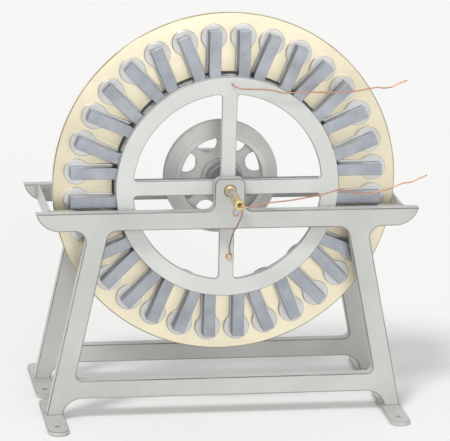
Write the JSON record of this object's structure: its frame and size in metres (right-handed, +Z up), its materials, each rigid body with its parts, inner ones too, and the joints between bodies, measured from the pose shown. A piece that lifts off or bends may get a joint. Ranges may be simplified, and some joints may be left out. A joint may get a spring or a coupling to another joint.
{
  "type": "magneto generator",
  "caption": "Belt-driven magneto generator: a fixed ring of horseshoe magnets on an iron stand, with a turning wheel of coils behind their poles.",
  "frame": {"origin": "on the floor, under the middle of the whole machine: the middle of its box across and from the front rod's tip to the rear feet's tips", "axes": "+X to the right of someone who faces the front, -Y towards that person, +Z up; the shaft runs along Y at z 0.620"},
  "size_m": [1.016, 0.6467, 1.077],
  "materials": {
    "stand_iron": "dark grey machine paint over cast iron",
    "clamp_iron": "dark grey machine paint over cast iron",
    "fastener_steel": "turned steel, oiled",
    "bearing_brass": "turned gunmetal",
    "magnet_steel": "ground and blued magnet steel",
    "disc_brass": "lacquered brass plate",
    "shoe_iron": "ground soft iron",
    "carrier_iron": "machined cast iron",
    "shaft_steel": "turned steel, polished",
    "contact_brass": "polished brass",
    "ebonite": "polished hard rubber",
    "bobbin_wood": "turned and varnished boxwood",
    "winding_copper": "cotton-covered copper wire, shellacked",
    "bare_copper": "bare copper wire",
    "pulley_iron": "turned cast iron"
  },
  "bodies": {
    "stand": {"front_frame": "stand_iron", "rear_frame": "stand_iron", "left_side_rail": "stand_iron", "right_side_rail": "stand_iron", "front_corner_bolts": "fastener_steel", "rear_corner_bolts": "fastener_steel", "front_corner_nuts": "fastener_steel", "rear_corner_nuts": "fastener_steel", "front_bush": "bearing_brass", "rear_bush": "bearing_brass", "thrust_washer": "bearing_brass", "clamp_wheel": "clamp_iron", "boss_bolts": "fastener_steel", "front_magnet_leaves": "magnet_steel", "middle_magnet_leaves": "magnet_steel", "rear_magnet_leaves": "magnet_steel", "backing_ring": "clamp_iron", "clamp_screws": "fastener_steel", "contact_wire": "bare_copper", "contact_screw": "contact_brass", "upper_lead": "bare_copper", "lower_lead": "bare_copper"},
    "rotor": {"shaft": "shaft_steel", "ferrule": "contact_brass", "insulating_tube": "ebonite", "contact_rod": "contact_brass", "armature_disc": "disc_brass", "pole_shoes": "shoe_iron", "disc_carrier": "carrier_iron", "disc_rivets": "bearing_brass", "carrier_key": "fastener_steel", "coil_cores": "shoe_iron", "bobbins": "bobbin_wood", "coil_windings": "winding_copper", "coil_links": "bare_copper", "coil_leads": "bare_copper", "earth_screw": "contact_brass", "yoke_ring": "shoe_iron", "core_nuts": "fastener_steel", "pulley": "pulley_iron", "pulley_key": "fastener_steel", "rear_collar": "shaft_steel", "collar_screw": "fastener_steel"}
  },
  "joints": [
    {"name": "rotor_spin", "type": "hinge", "parent": "stand", "child": "rotor", "pos_m": [0, 0, 0.62], "axis": [0, 1, 0], "continuous": true}
  ]
}
